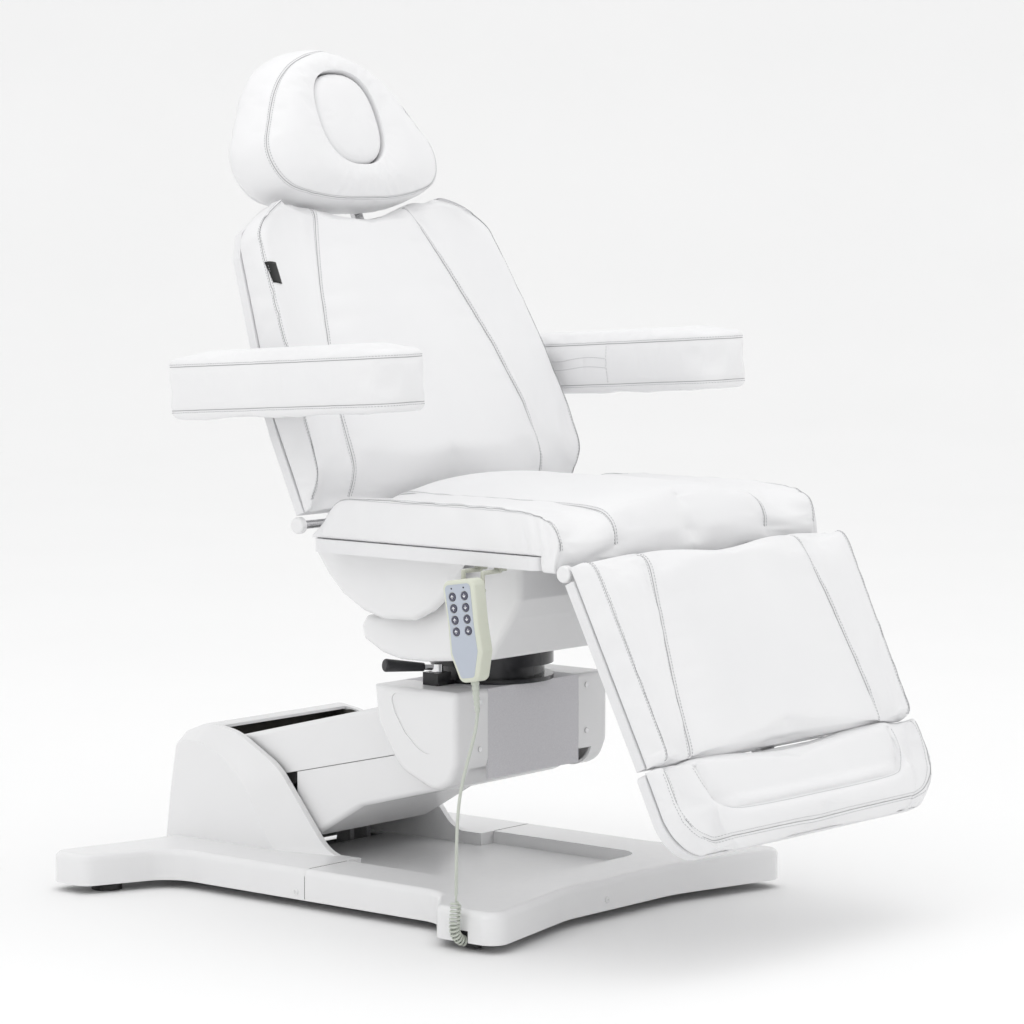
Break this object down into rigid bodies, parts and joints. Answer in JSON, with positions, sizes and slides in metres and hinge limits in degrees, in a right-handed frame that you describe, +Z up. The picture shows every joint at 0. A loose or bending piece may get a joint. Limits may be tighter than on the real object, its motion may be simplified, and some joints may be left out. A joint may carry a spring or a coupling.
{
  "type": "podiatry chair",
  "caption": "Electric podiatry chair with low base, lift arm, swivel, tilting seat, reclining back, headrest with face plug, armrests, raising legrest and corded hand control.",
  "frame": {"origin": "on the floor at the centre of the chair's plan outline, cord left out", "axes": "+Z up, the sitter faces -Y, the sitter's right hand side is -X"},
  "size_m": [0.82, 1.1041, 1.2058],
  "materials": {
    "white cover": "satin gloss",
    "frame steel": "powder coated",
    "foot rubber": "matt",
    "black plastic": "fine texture",
    "bright steel": "brushed",
    "polished chrome": "polished",
    "swivel black": "gloss",
    "board": "raw board",
    "white upholstery": "soft synthetic leather",
    "holder paint": "satin",
    "handset cream": "satin",
    "cord grey-green": "satin",
    "button slate": "satin"
  },
  "bodies": {
    "base": {"front_cover": "white cover", "rear_cover": "white cover", "base_frame": "frame steel", "levelling_feet": "foot rubber", "power_inlet": "black plastic", "cord_socket": "black plastic"},
    "arm": {"arm_upper_cover": "white cover", "arm_lower_cover": "white cover", "arm_beam": "frame steel", "arm_shafts": "bright steel", "lift_actuator": "black plastic"},
    "lift_rod": {"lift_actuator_rod": "bright steel"},
    "link": {"levelling_link": "frame steel"},
    "carriage": {"carriage_frame": "frame steel", "carriage_front_panel": "white cover", "carriage_caps": "white cover", "carriage_screws": "bright steel", "swivel_ring": "swivel black"},
    "clamp": {"clamp_lever": "polished chrome", "clamp_grip": "black plastic"},
    "turntable": {"turntable": "swivel black", "belly_cover": "white cover", "tilt_actuator": "black plastic"},
    "tilt_rod": {"tilt_actuator_rod": "bright steel"},
    "seat": {"seat_board": "board", "seat_cushion": "white upholstery", "seat_frame": "frame steel", "seat_skirt": "white cover", "hinge_shafts": "bright steel", "hinge_caps": "white cover", "handset_holder": "holder paint"},
    "backrest": {"back_board": "board", "back_cushion": "white upholstery", "back_frame": "frame steel"},
    "headrest_carrier": {"headrest_bars": "bright steel"},
    "headrest": {"head_board": "board", "head_cushion": "white upholstery"},
    "face_insert": {"face_insert": "white upholstery"},
    "armrest_right": {"armrest_pad_right": "white upholstery"},
    "armrest_left": {"armrest_pad_left": "white upholstery"},
    "legrest": {"leg_board": "board", "leg_cushion": "white upholstery", "leg_frame": "frame steel"},
    "footrest": {"foot_board": "board", "foot_cushion": "white upholstery", "foot_slide_bar": "bright steel"},
    "handset": {"handset_case": "handset cream", "strain_relief": "cord grey-green", "cord_straight": "cord grey-green", "cord_curl": "cord grey-green"},
    "handset_button_1": {"handset_button_1": "button slate"},
    "handset_button_2": {"handset_button_2": "button slate"},
    "handset_button_3": {"handset_button_3": "button slate"},
    "handset_button_4": {"handset_button_4": "button slate"},
    "handset_button_5": {"handset_button_5": "button slate"},
    "handset_button_6": {"handset_button_6": "button slate"},
    "handset_button_7": {"handset_button_7": "button slate"},
    "handset_button_8": {"handset_button_8": "button slate"}
  },
  "joints": [
    {"name": "lift", "type": "hinge", "parent": "base", "child": "arm", "pos_m": [0, 0.4, 0.15], "axis": [-1, 0, 0], "range_deg": [0, 45]},
    {"name": "carriage_level", "type": "hinge", "parent": "arm", "child": "carriage", "pos_m": [0, 0.038, 0.232], "axis": [-1, 0, 0], "range_deg": [-45, 0]},
    {"name": "link_swing", "type": "hinge", "parent": "base", "child": "link", "pos_m": [0, 0.4, 0.112], "axis": [-1, 0, 0], "range_deg": [0, 45]},
    {"name": "lift_rod_slide", "type": "slide", "parent": "arm", "child": "lift_rod", "axis": [0, 0.9753, -0.2209], "range_m": [0, 0.03214]},
    {"name": "swivel_clamp", "type": "hinge", "parent": "carriage", "child": "clamp", "pos_m": [-0.112, 0.039, 0.333], "axis": [0, 0, -1], "range_deg": [0, 60]},
    {"name": "seat_swivel", "type": "hinge", "parent": "carriage", "child": "turntable", "pos_m": [0, 0.034, 0.338], "axis": [0, 0, 1], "range_deg": [-90, 90]},
    {"name": "seat_tilt", "type": "hinge", "parent": "turntable", "child": "seat", "pos_m": [0, 0.05, 0.478], "axis": [-1, 0, 0], "range_deg": [0, 12]},
    {"name": "tilt_rod_slide", "type": "slide", "parent": "turntable", "child": "tilt_rod", "axis": [0, 0, 1], "range_m": [0, 0.03554]},
    {"name": "back_recline", "type": "hinge", "parent": "seat", "child": "backrest", "pos_m": [0, 0.136, 0.546], "axis": [-1, 0, 0], "range_deg": [0, 64]},
    {"name": "headrest_extend", "type": "slide", "parent": "backrest", "child": "headrest_carrier", "axis": [0, 0.3907, 0.9205], "range_m": [0, 0.1]},
    {"name": "headrest_tilt", "type": "hinge", "parent": "headrest_carrier", "child": "headrest", "pos_m": [0, 0.36079, 1.00137], "axis": [-1, 0, 0], "range_deg": [0, 35]},
    {"name": "face_insert_out", "type": "slide", "parent": "headrest", "child": "face_insert", "axis": [0, -0.9205, 0.3907], "range_m": [0, 0.08]},
    {"name": "armrest_right_fold", "type": "hinge", "parent": "backrest", "child": "armrest_right", "pos_m": [0, 0.21718, 0.72881], "axis": [-1, 0, 0], "range_deg": [0, 90]},
    {"name": "armrest_left_fold", "type": "hinge", "parent": "backrest", "child": "armrest_left", "pos_m": [0, 0.21718, 0.72881], "axis": [-1, 0, 0], "range_deg": [0, 90]},
    {"name": "leg_raise", "type": "hinge", "parent": "seat", "child": "legrest", "pos_m": [0, -0.338, 0.511], "axis": [-1, 0, 0], "range_deg": [0, 64]},
    {"name": "footrest_extend", "type": "slide", "parent": "legrest", "child": "footrest", "axis": [0, -0.4384, -0.8988], "range_m": [0, 0.155]},
    {"name": "handset_lift_off", "type": "slide", "parent": "seat", "child": "handset", "axis": [0, 0, 1], "range_m": [0, 0.05], "deforming": ["cord_straight", "cord_curl"]},
    {"name": "handset_button_1_press", "type": "slide", "parent": "handset", "child": "handset_button_1", "axis": [1, 0, 0], "range_m": [0, 0.0012], "stiffness_N_per_m": 400},
    {"name": "handset_button_2_press", "type": "slide", "parent": "handset", "child": "handset_button_2", "axis": [1, 0, 0], "range_m": [0, 0.0012], "stiffness_N_per_m": 400},
    {"name": "handset_button_3_press", "type": "slide", "parent": "handset", "child": "handset_button_3", "axis": [1, 0, 0], "range_m": [0, 0.0012], "stiffness_N_per_m": 400},
    {"name": "handset_button_4_press", "type": "slide", "parent": "handset", "child": "handset_button_4", "axis": [1, 0, 0], "range_m": [0, 0.0012], "stiffness_N_per_m": 400},
    {"name": "handset_button_5_press", "type": "slide", "parent": "handset", "child": "handset_button_5", "axis": [1, 0, 0], "range_m": [0, 0.0012], "stiffness_N_per_m": 400},
    {"name": "handset_button_6_press", "type": "slide", "parent": "handset", "child": "handset_button_6", "axis": [1, 0, 0], "range_m": [0, 0.0012], "stiffness_N_per_m": 400},
    {"name": "handset_button_7_press", "type": "slide", "parent": "handset", "child": "handset_button_7", "axis": [1, 0, 0], "range_m": [0, 0.0012], "stiffness_N_per_m": 400},
    {"name": "handset_button_8_press", "type": "slide", "parent": "handset", "child": "handset_button_8", "axis": [1, 0, 0], "range_m": [0, 0.0012], "stiffness_N_per_m": 400}
  ],
  "couplings": [
    {"joint": "carriage_level", "follows": "lift", "ratio": -1},
    {"joint": "link_swing", "follows": "lift", "ratio": 1},
    {"joint": "lift_rod_slide", "follows": "lift", "m_per_rad": 0.040928},
    {"joint": "tilt_rod_slide", "follows": "seat_tilt", "m_per_rad": 0.16969}
  ]
}
